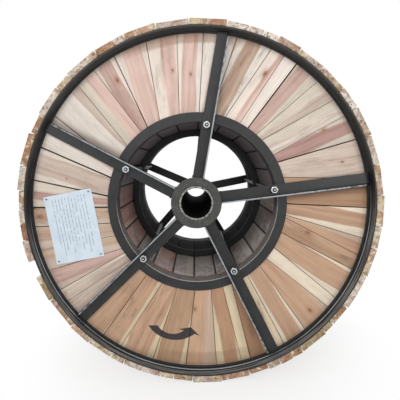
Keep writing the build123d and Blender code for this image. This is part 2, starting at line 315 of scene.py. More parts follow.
class Shade:
    """A socket of a material's nodes, with arithmetic that adds the Math nodes it needs."""

    def __init__(self, nodes, socket):
        self.nodes = nodes
        self.socket = socket

    __add__, __radd__ = math_node("ADD"), math_node("ADD", swapped=True)
    __sub__, __rsub__ = math_node("SUBTRACT"), math_node("SUBTRACT", swapped=True)
    __mul__, __truediv__ = math_node("MULTIPLY"), math_node("DIVIDE")
    __abs__, sign, fraction = math_node("ABSOLUTE"), math_node("SIGN"), math_node("FRACT")
    least, most = math_node("MINIMUM"), math_node("MAXIMUM")
    root, exp = math_node("SQRT"), math_node("EXPONENT")

    def __neg__(self):
        return self * -1.0

    def rise(self, low, high):
        """0 below low, 1 above high and smooth between them. With low above high it falls instead."""
        return self.nodes.add(
            "MapRange", {"Value": self, "From Min": low, "From Max": high}, interpolation_type="SMOOTHSTEP",
        )


def span(first, second):
    """The length that two shaded lengths at right angles make together."""
    return (first * first + second * second).root()


class Nodes:
    """The node tree of one material or world."""

    def __init__(self, owner):
        owner.use_nodes = True
        self.tree = owner.node_tree
        self.tree.nodes.clear()

    def add(self, kind, inputs=(), output=0, **settings):
        """A node of any type: its settings first, then the values or links of its sockets."""
        node = self.tree.nodes.new("ShaderNode" + kind)
        for name, value in settings.items():
            setattr(node, name, value)
        for name, value in dict(inputs).items():
            if isinstance(value, Shade):
                self.tree.links.new(value.socket, node.inputs[name])
            else:
                node.inputs[name].default_value = value
        return Shade(self, node.outputs[output]) if node.outputs else None

    def attribute(self, name, output="Vector"):
        return self.add("Attribute", output=output, attribute_name=name)

    def place(self):
        """Object coordinates, which are the drum's own frame in metres."""
        return self.add("TexCoord", output="Object")

    def split(self, vector):
        node = self.add("SeparateXYZ", {"Vector": vector}).socket.node
        return [Shade(self, socket) for socket in node.outputs]

    def round_axis(self):
        """Object coordinates one by one, and the distance from the drum's axis."""
        x, y, z = self.split(self.place())
        return x, y, z, span(x, z)

    def join(self, x, y, z):
        return self.add("CombineXYZ", {"X": x, "Y": y, "Z": z})

    def noise(self, vector=None, scale=1.0, detail=2.0, roughness=0.5):
        """Noise over the drum's own frame, or over another vector."""
        return self.add(
            "TexNoise",
            {"Vector": vector or self.place(), "Scale": scale, "Detail": detail, "Roughness": roughness},
            output="Fac",
        )

    def mix(self, factor, first, second):
        """A blend of two colours. The node's sockets share their names, so they go by number."""
        return self.add("Mix", {0: factor, 6: first, 7: second}, output=2, data_type="RGBA")

    def marks(self, colour, **factors):
        """Named marks laid over a colour one after another, each as strongly as its number says."""
        for name, factor in factors.items():
            colour = self.mix(factor, colour, mark(name))
        return colour

    def tone(self, colour, level):
        """A colour made darker or lighter by a number."""
        return self.add("VectorMath", {0: colour, "Scale": level}, operation="SCALE")

    def bump(self, height, distance, strength):
        return self.add(
            "Bump", {"Height": height, "Distance": distance, "Strength": strength}, output="Normal",
        )

    def surface(self, **inputs):
        """The finished surface: a principled shader whose sockets are named with underscores."""
        shader = self.add("BsdfPrincipled", {k.replace("_", " "): v for k, v in inputs.items()})
        self.add("OutputMaterial", {"Surface": shader})


def new_material(name):
    material = bpy.data.materials.new(name)
    return material, Nodes(material)


def timber_material(name, ring_gap, line_depth, weather, end_dark, paint, joints=None, specular=0.4):
    """Sawn timber: sapwood and heartwood round the pith of each board's own log, knots and saw marks."""
    material, nodes = new_material(name)
    run, across, depth = nodes.split(nodes.attribute("grain"))
    pith_across, pith_depth, heart_radius = nodes.split(nodes.attribute("log"))
    knot_run, knot_across, knot_radius = nodes.split(nodes.attribute("knot"))
    end = nodes.attribute("end", "Fac")

    def along_grain(pattern, sideways):
        """The board's own directions, stretched as a pattern needs them."""
        scales = GRAIN_SCALES[pattern]
        return nodes.join(run * scales[0], sideways * scales[1], depth * scales[2])

    # The grain flows round a knot and wanders a little along the board
    aside = across - knot_across
    beside = (run - knot_run) / 1.6
    near = span(aside, beside)
    swirl = (-(near * near) / (knot_radius * knot_radius * 5.0)).exp()
    slow = nodes.noise(along_grain("slow", across))
    bent = across + aside.sign() * swirl * knot_radius * 0.8 + (slow - 0.5) * (16 * MM)
    from_pith = span(bent - pith_across, depth - pith_depth)

    # Streaks along the board, from broad to as fine as its fibres
    broad = nodes.noise(along_grain("broad", bent))
    streak = nodes.noise(along_grain("streak", bent), detail=3.0)
    fibre = nodes.noise(along_grain("fibre", across))
    ring = (from_pith / ring_gap + (broad - 0.5) * 0.8).fraction()
    late = ring.rise(0.45, 0.9) * ring.rise(1.0, 0.93)

    heart = (heart_radius - from_pith + (broad - 0.5) * (4 * MM)).rise(-0.8 * MM, 0.8 * MM)
    colour = nodes.mix(heart, nodes.attribute("sapwood"), nodes.attribute("heartwood"))
    patch = nodes.noise(along_grain("patch", across), detail=4.0, roughness=0.65)
    level = 1.07 - late * line_depth - (broad - 0.5) * 0.26 - (patch - 0.5) * 0.42 - (streak - 0.5) * 0.18
    level = level - (fibre - 0.5) * 0.12

    # Reddish streaks in the heartwood, and stains that follow the grain, strong on some boards only
    blot = nodes.noise(along_grain("blot", bent), detail=5.0, roughness=0.7)
    colour = nodes.marks(
        nodes.tone(colour, level), streak=broad.rise(0.52, 0.68) * heart * 0.35,
        stain=blot.rise(0.5, 0.66) * nodes.attribute("stain", "Fac"),
    )

    # Small knots with a dark ring, and pinholes
    core = (near + (streak - 0.5) * (2 * MM)) / knot_radius
    knot_tone = nodes.mix((core * 3.5).fraction() * 0.6, mark("knot"), mark("knot_ring"))
    specks = nodes.add(
        "TexVoronoi", {"Vector": along_grain("speck", across), "Randomness": 1.0}, output="Distance",
    )
    colour = nodes.marks(colour, knot_edge=core.rise(3.2, 1.0) * 0.4)
    colour = nodes.mix(core.rise(1.25, 0.8) * 0.8, colour, knot_tone)
    colour = nodes.marks(colour, knot_heart=core.rise(0.4, 0.2) * 0.7, pinhole=specks.rise(0.04, 0.02) * 0.7)

    # Dirt and shade down in the joints, more in some than in others, and on hidden faces
    if joints:
        top, low = joints
        shade = depth.rise(top - 0.15 * MM, top - 1.3 * MM).most(depth.rise(low + 0.6 * MM, low))
        packed = nodes.noise(scale=6.0, detail=1.0).rise(0.35, 0.6)
        colour = nodes.marks(colour, joint=shade * (0.5 + packed * 0.4))

    # Weathering, and the darker rough ends of the boards
    darkening = nodes.noise(scale=14.0, detail=4.0, roughness=0.65)
    colour = nodes.marks(colour, weathered=darkening.rise(0.4, 0.75) * weather)
    end_grit = nodes.noise(scale=260.0, detail=4.0, roughness=0.7)
    colour = nodes.tone(colour, 1.0 - end * (end_dark + (end_grit - 0.5) * 0.7))
    roughness = 0.62 + (streak - 0.5) * 0.2 + end * 0.15
    colour, roughness = paint(nodes, colour, roughness)
    saw = nodes.noise(along_grain("saw", across), detail=1.0)
    height = fibre * 0.5 + late * 0.3 + saw * 0.35 - core.rise(1.1, 0.9) * 0.5 + end * end_grit * 2.5
    nodes.surface(
        Base_Color=colour, Roughness=roughness, Specular_IOR_Level=specular,
        Normal=nodes.bump(height, 0.35 * MM, 0.8),
    )
    return material


def roll_arrow(x, z, grit):
    """1 inside a curved arrow that shows which way to roll the drum: a crescent with a wide flat head."""
    def disc(middle, radius):
        return radius * MM - span(x - middle[0] * MM, z - middle[1] * MM)

    def beyond(first, second):
        """How far a point lies to the left of the line from one corner to another."""
        run_x, run_z = second[0] - first[0], second[1] - first[1]
        length = math.hypot(run_x, run_z)
        return (z - first[1] * MM) * (run_x / length) - (x - first[0] * MM) * (run_z / length)

    body = disc(ARROW_OUTER[:2], ARROW_OUTER[2]).least(-disc(ARROW_INNER[:2], ARROW_INNER[2]))
    body = body.least(-beyond(*ARROW_TAIL)).least(3 * MM - beyond(ARROW_HEAD[0], ARROW_HEAD[2]))
    head = beyond(ARROW_HEAD[0], ARROW_HEAD[2])
    head = head.least(beyond(ARROW_HEAD[2], ARROW_HEAD[1])).least(beyond(ARROW_HEAD[1], ARROW_HEAD[0]))
    return (body.most(head) + (grit - 0.5) * (2 * MM)).rise(-0.8 * MM, 0.8 * MM)


def shaded_mouth(nodes, colour, radius, y, z):
    """Painted shade on the boards' inner ends round the barrel's mouth, turning to a paler painted light on
    the near low ones.
    """
    mouth = radius.rise(RING_INNER + 5 * MM, RING_INNER + 2 * MM)
    lit = z.rise(20 * MM, -110 * MM) * y.rise(0, -100 * MM)
    # Painted shade above, paler painted light on the near low ends
    darkening = nodes.mix(lit, mark("mouth_shade"), mark("mouth_light"))
    return nodes.mix(mouth * 0.9, colour, darkening)


def face_marks(nodes, colour, roughness):
    """The painted roll arrow, a painted shadow of the rim on the top boards, damp and dirt along the rim,
    painted shade round the barrel's mouth and painted shadows beside two of the spokes.
    """
    x, y, z, radius = nodes.round_axis()
    grit = nodes.noise(scale=60.0, detail=4.0, roughness=0.7)
    edge = radius + (grit - 0.5) * (16 * MM)
    top = z.rise(RIM_RADIUS * 0.84, RIM_RADIUS * 0.93)
    low = z.rise(-RIM_RADIUS * 0.84, -RIM_RADIUS * 0.9)
    # A painted shadow of the rim's leg on the top boards, and damp along the rim at the bottom
    colour = nodes.marks(
        colour, rim_stain=edge.rise(RIM_RADIUS - 46 * MM, RIM_RADIUS - 36 * MM) * top * 0.55,
        damp=edge.rise(RIM_RADIUS - 58 * MM, RIM_RADIUS - 50 * MM) * low * 0.3,
    )
    colour = shaded_mouth(nodes, colour, radius, y, z)
    thin = nodes.noise(scale=260.0, detail=3.0, roughness=0.7)
    faded = 0.6 + x.rise(-180 * MM, -165 * MM) * 0.4
    colour = nodes.marks(
        colour, smudge=edge.rise(RIM_RADIUS - 30 * MM, RIM_RADIUS - 10 * MM) * 0.3,
        arrow=roll_arrow(x, z, grit) * thin.rise(0.14, 0.3) * faded * 0.97,
    )
    # Painted shadows on the boards below two of the spokes
    for angle in SHADED_SPOKES:
        turn = math.radians(angle)
        beside = z * math.cos(turn) - x * math.sin(turn)
        outward = x * math.cos(turn) + z * math.sin(turn)
        under = beside.rise(-40 * MM, -14 * MM) * beside.rise(0, -8 * MM) * outward.rise(0, RING_RADIUS)
        colour = nodes.marks(colour, spoke_shade=under * 0.6)
    return colour, roughness


def mottled_ends(nodes, colour, roughness):
    """The battens' weathered ends: blotched, speckled and with painted shade where they lie on the rim."""
    _, y, _, radius = nodes.round_axis()
    at_end = abs(y).rise(-FLANGE_EDGE - 7 * MM, -FLANGE_EDGE - 4 * MM)
    blotch = nodes.noise(scale=48.0, detail=4.0, roughness=0.65)
    speck = nodes.noise(scale=150.0, detail=4.0, roughness=0.75)
    # Painted shade where the ends sit on the rim
    contact = radius.rise(RIM_RADIUS + 2.2 * MM, RIM_RADIUS + 0.8 * MM)
    colour = nodes.marks(
        nodes.tone(colour, 1.0 + at_end * 0.1), brown_blotch=at_end * blotch.rise(0.5, 0.6) * 0.6,
        pale_blotch=at_end * blotch.rise(0.44, 0.34) * 0.75, speck=at_end * speck.rise(0.54, 0.64) * 0.8,
        contact=at_end * contact * 0.85,
    )
    return colour, roughness


def dark_mouth(nodes, colour, roughness):
    """The lining and the far flange have no marks but the painted shade on their inner ends."""
    _, y, z, radius = nodes.round_axis()
    return shaded_mouth(nodes, colour, radius, y, z), roughness


def barrel_dirt_and_shade(nodes, colour, roughness):
    """The inside of the barrel: painted shade on its upper staves with a little grime, patches of painted
    light on the low ones near the front, dark joints, and painted shade, nearly black, past the hoop.
    """
    _, y, z, radius = nodes.round_axis()
    inside = radius.rise(BARREL_RADIUS + 14 * MM, BARREL_RADIUS + 10 * MM)
    cloud = nodes.noise(scale=9.0, detail=4.0, roughness=0.6)
    # Painted shade on the upper staves, with a little grime
    high = z.rise(-60 * MM, 130 * MM)
    rub = nodes.noise(scale=34.0, detail=5.0, roughness=0.75)
    # Patches of painted light on the low staves near the front
    lit_patches = rub.rise(0.42, 0.58) * z.rise(-50 * MM, -130 * MM) * y.rise(-60 * MM, -150 * MM)
    colour = nodes.marks(
        colour, stave_dirt_and_shade=inside * (high * 0.85 + cloud * 0.1), stave_light_patch=inside * lit_patches * 0.6,
    )
    colour = nodes.tone(colour, 1.0 + inside * 0.12)
    # Painted shade, nearly black, on the staves past the hoop
    beyond = (y + (cloud - 0.5) * (30 * MM)).rise(-20 * MM, 5 * MM)
    joint = (radius + (rub - 0.5) * (0.4 * MM)).rise(BARREL_RADIUS + 2.3 * MM, BARREL_RADIUS + 2.5 * MM)
    joint = joint * radius.rise(BARREL_RADIUS + 21 * MM, BARREL_RADIUS + 19 * MM)
    colour = nodes.marks(colour, stave_joint=joint * 0.8, far_barrel_shade=inside * beyond * 0.98)
    return colour, roughness.most(inside * 0.9)


def flat_end_of(corners, direction):
    """The middle of the four corners that lie furthest along a direction."""
    ordered = sorted(corners, key=lambda corner: corner.dot(direction))
    return sum(ordered[-4:], Vector()) / 4


class Board:
    """One board of a CAD node: its corners, its middle and the directions of its run, width and face."""

    def __init__(self, corners, outward):
        self.corners = corners
        self.middle = sum(corners, Vector()) / len(corners)
        radial = Vector((self.middle.x, 0, self.middle.z)).normalized()
        if outward is None:
            self.outward, self.run = radial, Vector((0, 1, 0))
        else:
            self.outward = Vector((0, outward, 0))
            run = flat_end_of(corners, radial) - flat_end_of(corners, -radial)
            self.run = (run - self.outward * run.dot(self.outward)).normalized()
        self.across = self.run.cross(self.outward)
        self.length = self.reach(self.run)
        self.width = self.reach(self.across)
        self.thickness = self.reach(self.outward)
        ends = sorted((self.local(corner) for corner in corners), key=lambda place: place.x)
        self.near_half = max(abs(place.y) for place in ends[:4])
        self.far_half = max(abs(place.y) for place in ends[-4:])

    def reach(self, direction):
        places = [corner.dot(direction) for corner in self.corners]
        return max(places) - min(places)

    def local(self, point):
        offset = point - self.middle
        return Vector((offset.dot(self.run), offset.dot(self.across), offset.dot(self.outward)))

    def holds(self, place):
        """Whether a place in the board's own directions lies on it, clear of its edges."""
        share = place.x / self.length + 0.5
        half = self.near_half + (self.far_half - self.near_half) * share
        return 0 < share < 1 and abs(place.y) < half

    def angle(self):
        return angle_of(self.middle)


def boards_of(node, outward=None):
    """The separate boards of a CAD node, in order of their angle. Boards along the axis need no outward."""
    mesh = bmesh.new()
    mesh.from_mesh(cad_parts[node].data)
    bmesh.ops.remove_doubles(mesh, verts=mesh.verts, dist=MERGE_DISTANCE)
    seen = set()
    boards = []
    for start in mesh.verts:
        if start in seen:
            continue
        group = [start]
        seen.add(start)
        for vert in group:
            for edge in vert.link_edges:
                other = edge.other_vert(vert)
                if other not in seen:
                    seen.add(other)
                    group.append(other)
        boards.append(Board([vert.co.copy() for vert in group], outward))
    mesh.free()
    return sorted(boards, key=Board.angle)


def board_shape(board, edge, cuts):
    """A board with its edges eased and cut across its run, so that it can be bent."""
    shape = bmesh.new()
    corners = [shape.verts.new(corner) for corner in board.corners]
    bmesh.ops.convex_hull(shape, input=corners)
    bmesh.ops.dissolve_limit(shape, angle_limit=FLAT_ANGLE, verts=shape.verts, edges=shape.edges)
    bmesh.ops.bevel(
        shape, geom=shape.edges[:], offset=edge, offset_type="OFFSET", affect="EDGES", segments=2,
        profile=0.5, material=-1, clamp_overlap=True,
    )
    for number in range(1, cuts + 1):
        station = board.middle + board.run * board.length * (number / (cuts + 1) - 0.5)
        parts = shape.faces[:] + shape.edges[:]
        bmesh.ops.bisect_plane(shape, geom=parts, plane_co=station, plane_no=board.run)
    bmesh.ops.recalc_face_normals(shape, faces=shape.faces)
    return shape


def mesh_data(name, shape):
    """A finished shape as the data of an object."""
    data = bpy.data.meshes.new(name)
    shape.to_mesh(data)
    shape.free()
    return data


def put(name, data):
    """A new object in the scene."""
    thing = bpy.data.objects.new(name, data)
    bpy.context.scene.collection.objects.link(thing)
    return thing


def add_shape(whole, shape):
    """Put a shape into a larger mesh, and give back its new vertices and faces."""
    mesh = mesh_data("passing", shape)
    first_vert = len(whole.verts)
    first_face = len(whole.faces)
    whole.from_mesh(mesh)
    bpy.data.meshes.remove(mesh)
    whole.verts.ensure_lookup_table()
    whole.faces.ensure_lookup_table()
    return whole.verts[first_vert:], whole.faces[first_face:]


def new_piece(name, mesh, material):
    """A finished object at the origin, riding on the drum."""
    data = mesh_data(name, mesh)
    for polygon in data.polygons:
        polygon.use_smooth = True
    data.materials.append(material)
    piece = put(name, data)
    data.set_sharp_from_angle(angle=SHARP_ANGLE)
    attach(piece, "root")
    return piece


def timber_piece(name, node, boards, looks, material, edge, cuts, bend):
    """One object for all the boards of a CAD node, with each board's own grain in its attributes."""
    whole = bmesh.new()
    vectors = {}
    for key in ("grain", "log", "knot", "sapwood", "heartwood"):
        vectors[key] = whole.verts.layers.float_vector.new(key)
    stain = whole.verts.layers.float.new("stain")
    end = whole.loops.layers.float.new("end")
    for board, look in zip(boards, looks):
        verts, faces = add_shape(whole, board_shape(board, look.get("edge", edge), cuts))
        shift = Vector((look["offset"], 0, 0))
        for vert in verts:
            place = board.local(vert.co)
            turned = Matrix.Rotation(look["lean"], 3, "Z") @ place
            vert[vectors["grain"]] = turned + shift
            vert[vectors["log"]] = look["log"]
            vert[vectors["knot"]] = look["knot"] + shift
            vert[vectors["sapwood"]] = look["sapwood"]
            vert[vectors["heartwood"]] = look["heartwood"]
            vert[stain] = look["stain"]
            vert.co += bend(board, place, look)
        for face in faces:
            is_end = float(abs(face.normal.dot(board.run)) > 0.7)
            for loop in face.loops:
                loop[end] = is_end
    piece = new_piece(name, whole, material)
    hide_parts(node)
    return piece


def common_look(draw, board, sapwood, heartwood, heart=None, knot_chance=0.4):
    """A board's grain: where its log's pith lay, how it leans, its colours and perhaps a knot."""
    half = board.width / 2
    if heart is None:
        middle = draw.uniform(-1.3, 1.3) * half
        reach = draw.uniform(0.5, 1.3) * half
    else:
        middle = (heart[0] + heart[1]) / 2
        reach = abs(heart[1] - heart[0]) / 2
    depth = -draw.uniform(16, 60) * MM
    knot = NO_KNOT
    if draw.random() < knot_chance:
        knot = Vector((
            draw.uniform(-0.4, 0.4) * board.length, draw.uniform(-0.3, 0.3) * board.width,
            draw.uniform(3, 8) * MM,
        ))
    light = draw.uniform(0.94, 1.05)
    return {
        "offset": draw.uniform(0, 50), "lean": math.radians(draw.uniform(-2.0, 2.0)),
        "log": Vector((middle, depth, math.hypot(reach, board.thickness / 2 - depth))), "knot": knot,
        "sapwood": Vector(linear(TIMBER_COLOURS[sapwood])) * light,
        "heartwood": Vector(linear(TIMBER_COLOURS[heartwood])) * light,
        "sink": draw.random(), "cup": draw.uniform(-1, 1), "bow": draw.uniform(-1, 1),
        "turn": draw.uniform(0, 6.28), "stain": max(0.0, draw.uniform(-0.3, 0.35)),
    }


def face_look(draw, board):
    """The look of a board of the near flange, from the tables of heartwood and knots."""
    rim_point = flat_end_of(board.corners, board.middle.normalized())
    rim_angle = angle_of(rim_point)
    entry = min(FACE_LOOKS, key=lambda row: abs((row[0] - rim_angle + 180) % 360 - 180))
    _, first, last, sapwood, heartwood = entry
    read_radius = RIM_RADIUS - 140 * MM
    edges = []
    for angle in (first, last):
        edges.append(board.local(on_circle(read_radius, angle, TIMBER_FACE)).y)
    look = common_look(draw, board, sapwood, heartwood, heart=edges, knot_chance=0)
    look["stain"] = max(look["stain"], STAINED_BOARDS.get(entry[0], 0))
    for angle, radius, size in FACE_KNOTS:
        place = board.local(on_circle(radius * MM, angle, TIMBER_FACE))
        if board.holds(place):
            look["knot"] = Vector((place.x, place.y, size * MM))
    return look


def far_look(draw, board):
    """The look of a board of the far flange, in the colours of any board of the near one."""
    row = draw.choice(FACE_LOOKS)
    return common_look(draw, board, *row[3:])


def face_bend(settings):
    """Face boards lie back from the steel a little, each by its own amount, and are slightly cupped."""
    def bend(board, place, look):
        back = look["sink"] * settings.board_sink
        cup = look["cup"] * BOARD_CUP * ((2 * place.y / board.width) ** 2 - 0.5)
        sway = math.sin(place.x * 9 + look["turn"]) * BOARD_SWAY
        return -board.outward * (back + abs(cup)) + board.across * sway
    return bend


def still(board, place, look):
    """Staves aren't bent at all."""
    return Vector()


def lining_bend(board, place, look):
    """Lining boards differ a little in thickness on the side that can't be seen."""
    return board.across * math.sin(place.x * 8 + look["turn"]) * LINING_SWAY


def batten_bend(board, place, look):
    """Rough battens: sawn edges that wander, waney outer corners and ends that aren't quite square."""
    side = math.copysign(1, place.y)
    outer = max(0.0, place.z / board.thickness + 0.5)
    wave = math.sin(place.x * 11 + look["turn"] * side) + 0.6 * math.sin(place.x * 27 + 2 * look["turn"])
    spread = look["spread"][0 if side < 0 else 1]
    edge = side * spread + wave * BATTEN_WAVE
    drop = -outer * MM * (0.4 + look["sink"] * 0.8 + look["wane"] * abs(2 * place.y / board.width) ** 3)
    slant = max(0.0, abs(place.x) / board.length - 0.4) / 0.1
    end_in = -math.copysign(1, place.x) * look["sink"] * BATTEN_SLANT * slant
    return board.outward * drop + board.across * edge + board.run * end_in


def spreads(boards):
    """How far each batten's two sides reach past its CAD outline, to leave only a thin joint."""
    pairs = []
    for number, board in enumerate(boards):
        pair = []
        for other in (boards[number - 1], boards[(number + 1) % len(boards)]):
            step = abs((other.angle() - board.angle() + 180) % 360 - 180)
            gap = 2 * math.tan(math.radians(step) / 2) * math.hypot(board.middle.x, board.middle.z)
            gap = gap - (board.width + other.width) / 2
            reach = min(max(gap / 2 - BATTEN_JOINT, 0.0), BATTEN_SPREAD)
            pair.append(reach if gap < 3 * BATTEN_SPREAD else 0.0)
        before = boards[number - 1].middle - board.middle
        pairs.append(pair if before.dot(board.across) < 0 else pair[::-1])
    return pairs


def steel_material(name, settings, gloss=0.4, marks=None, specular=0.4):
    """Black satin paint on rolled steel, with dust and faint runs."""
    material, nodes = new_material(name)
    cloud = nodes.noise(scale=22.0, detail=4.0, roughness=0.6)
    grit = nodes.noise(scale=700.0)
    peel = nodes.noise(scale=190.0)
    colour = nodes.marks(
        (*settings.steel_colour, 1), faded_paint=cloud.rise(0.35, 0.75) * 0.5,
        grit=grit.rise(0.64, 0.78) * 0.3,
    )
    roughness = gloss + (cloud - 0.5) * 0.25 + grit * 0.06
    metal = 0.0
    if marks:
        colour, roughness, metal = marks(nodes, colour, roughness)
    height = peel * 0.6 + grit * 0.25
    nodes.surface(
        Base_Color=colour, Roughness=roughness, Metallic=metal, Specular_IOR_Level=specular,
        Normal=nodes.bump(height, 0.25 * MM, 0.5),
    )
    return material


def rolled_rim(nodes, colour, roughness):
    """The rims' standing legs: painted light on their inner face at the top, a painted highlight line and a
    painted sheen in long streaks where they face up at the bottom, and darker front edges, most at the
    bottom.
    """
    x, y, z, radius = nodes.round_axis()
    inside = radius.rise(RIM_INNER - 3 * MM, RIM_INNER - 0.5 * MM)
    inside = inside * radius.rise(RIM_INNER + 2 * MM, RIM_INNER + MM)
    low = z.rise(0.1 * RIM_RADIUS, -0.35 * RIM_RADIUS)
    # Painted light on the legs' inner face at the top
    high = z.rise(-0.2 * RIM_RADIUS, 0.8 * RIM_RADIUS)
    out = (abs(y) + SPOKE_FACE) / (SPOKE_FACE - FLANGE_EDGE)
    wander = nodes.noise(nodes.join(x * 9.0, y * 300.0, z * 9.0), detail=3.0, roughness=0.6)
    # A painted highlight line along the inner face at the bottom
    line = out.rise(0.0, 0.06) * out.rise(0.2, 0.12) * wander.rise(0.3, 0.5)
    # A painted sheen in long streaks where the legs face up at the bottom
    band = out.rise(0.34, 0.46) * (0.1 + wander.rise(0.38, 0.6) * 0.9)
    # A darker front edge, most at the bottom
    front = abs(y).rise(-FLANGE_EDGE - 0.5 * MM, -FLANGE_EDGE - 0.1 * MM)
    colour = nodes.marks(
        colour, rim_top_light=inside * high * 0.6, highlight_line=inside * low * line * 0.9,
        sheen_band=inside * low * band * 0.8, dark_front_edge=front * (0.15 + low * 0.75),
    )
    return colour, roughness, 0.0


def bright_toes(nodes, colour, roughness):
    """The front edges of the spokes' free legs are painted bright grey and a little metallic, most near the
    hub.
    """
    _, y, _, radius = nodes.round_axis()
    rub = nodes.noise(scale=70.0, detail=4.0, roughness=0.65)
    bare = abs(y).rise(-FLANGE_EDGE - 1.6 * MM, -FLANGE_EDGE - 0.3 * MM)
    bare = bare * (rub - radius * 0.35).rise(0.18, 0.42)
    return nodes.marks(colour, bright_toe=bare * 0.85), roughness, bare * 0.3


def sawn_tube(nodes, colour, roughness):
    """The tube's ends are sawn and left bare, and its bore has painted shade."""
    _, y, _, radius = nodes.round_axis()
    rub = nodes.noise(scale=160.0, detail=3.0)
    bare = abs(y).rise(-FLANGE_EDGE - 0.6 * MM, -FLANGE_EDGE - 0.1 * MM) * rub.rise(0.3, 0.6)
    bore = radius.rise(TUBE_RADIUS - 5 * MM, TUBE_RADIUS - 5.8 * MM)
    colour = nodes.marks(colour, sawn_steel=bare * 0.85, soot=bore)
    return colour, roughness + bore * 0.4, bare * 0.3


def bright_lip(nodes, colour, roughness):
    """A painted highlight on the flame-cut inner edge of each flat ring, where it faces up."""
    _, _, z, radius = nodes.round_axis()
    lip = radius.rise(RING_INNER + 1.2 * MM, RING_INNER + 0.2 * MM) * z.rise(40 * MM, -60 * MM)
    return nodes.marks(colour, lip_highlight=lip * 0.9), roughness, 0.0


def rod_tip(centre):
    """A painted highlight in the middle of a tie rod's turned end."""
    def marks(nodes, colour, roughness):
        x, y, z = nodes.split(nodes.place())
        tip = span(x - centre.x, z - centre.z).rise(2.6 * MM, 1.6 * MM)
        bright = tip * abs(y).rise(-SPOKE_FACE, -SPOKE_FACE + 4 * MM)
        return nodes.marks(colour, rod_end_highlight=bright), roughness, bright * 0.5
    return marks


def spattered(nodes, colour, roughness):
    """Weld spatter and grinding dust on the collar's face."""
    spots = nodes.noise(scale=420.0, detail=3.0, roughness=0.7)
    cloud = nodes.noise(scale=30.0)
    dust = spots.rise(0.52, 0.66) * cloud.rise(0.35, 0.6)
    return nodes.marks(colour, dusty_paint=0.5, spatter=dust * 0.6), roughness, 0.0


def zinc_material(name, settings):
    """Bright zinc plating with a cloudy bloom and fine scratches."""
    material, nodes = new_material(name)
    cloud = nodes.noise(scale=120.0, detail=4.0, roughness=0.6)
    spots = nodes.noise(scale=900.0)
    colour = nodes.marks((*settings.zinc_colour, 1), zinc_bloom=cloud.rise(0.4, 0.7) * 0.5)
    nodes.surface(
        Base_Color=colour, Metallic=0.9, Roughness=0.3 + cloud * 0.2,
        Normal=nodes.bump(spots, 0.1 * MM, 0.4),
    )
    return material


def label_material(name, settings):
    """A laminated form: pale blue paper with plain ruled rows under a glossy film."""
    material, nodes = new_material(name)
    u, v, _ = nodes.split(nodes.add("UVMap", uv_map="sheet"))
    crease = nodes.noise(scale=30.0, detail=3.0)
    rows = (u * LABEL_ROWS).fraction()
    row = u * LABEL_ROWS - rows
    start = 0.07 + (row * 0.37).fraction() * 0.22
    words = nodes.noise(nodes.join(row * 3.7, v * 34.0, 0.5), detail=1.0).rise(0.4, 0.43)
    inside = u.rise(0.14, 0.141) * u.rise(0.88, 0.879) * (v - start).rise(0.0, 0.004) * v.rise(0.94, 0.936)
    ink = nodes.noise(nodes.join(u * 400.0, v * 160.0, 0.0), detail=1.0)
    lines = rows.rise(0.36, 0.44) * rows.rise(0.66, 0.58) * inside * words * (0.5 + ink * 0.5)
    colour = nodes.marks(
        (*settings.label_colour, 1), paper_shade=crease.rise(0.3, 0.8) * 0.5, ink=lines * 0.75,
    )
    nodes.surface(
        Base_Color=colour, Roughness=0.35, Coat_Weight=0.6, Coat_Roughness=0.12,
        Normal=nodes.bump(crease, 1.2 * MM, 0.5),
    )
    return material


def dab(mesh, place, radius, stretch=(1, 1, 1), facets=1):
    """A small rounded lump, such as one ripple of a weld."""
    size = Matrix.Diagonal((*[radius * s for s in stretch], 1))
    spot = Matrix.Translation(place) @ size
    bmesh.ops.create_icosphere(mesh, subdivisions=facets, radius=1, matrix=spot)


def bead(mesh, draw, start, finish, radius):
    """A weld bead: overlapping ripples along a straight line."""
    run = finish - start
    steps = max(2, round(run.length / (radius * 0.8)))
    for k in range(steps + 1):
        spot = start + run * (k / steps)
        jitter = Vector((draw.uniform(-1, 1), draw.uniform(-1, 1), draw.uniform(-1, 1))) * radius * 0.12
        dab(mesh, spot + jitter, radius * draw.uniform(0.85, 1.1))


def ring_bead(mesh, draw, radius, station, size):
    """A weld bead round the drum's axis."""
    steps = round(2 * math.pi * radius / (size * 0.85))
    for k in range(steps):
        angle = 360 * k / steps
        spot = on_circle(radius + draw.uniform(-0.1, 0.1) * size, angle, station)
        dab(mesh, spot, size * draw.uniform(0.85, 1.1))


class Step:
    """A step of the build: an operator that reads the drum's settings."""

    def execute(self, context):
        self.build(context.scene.cable_drum)
        return {"FINISHED"}


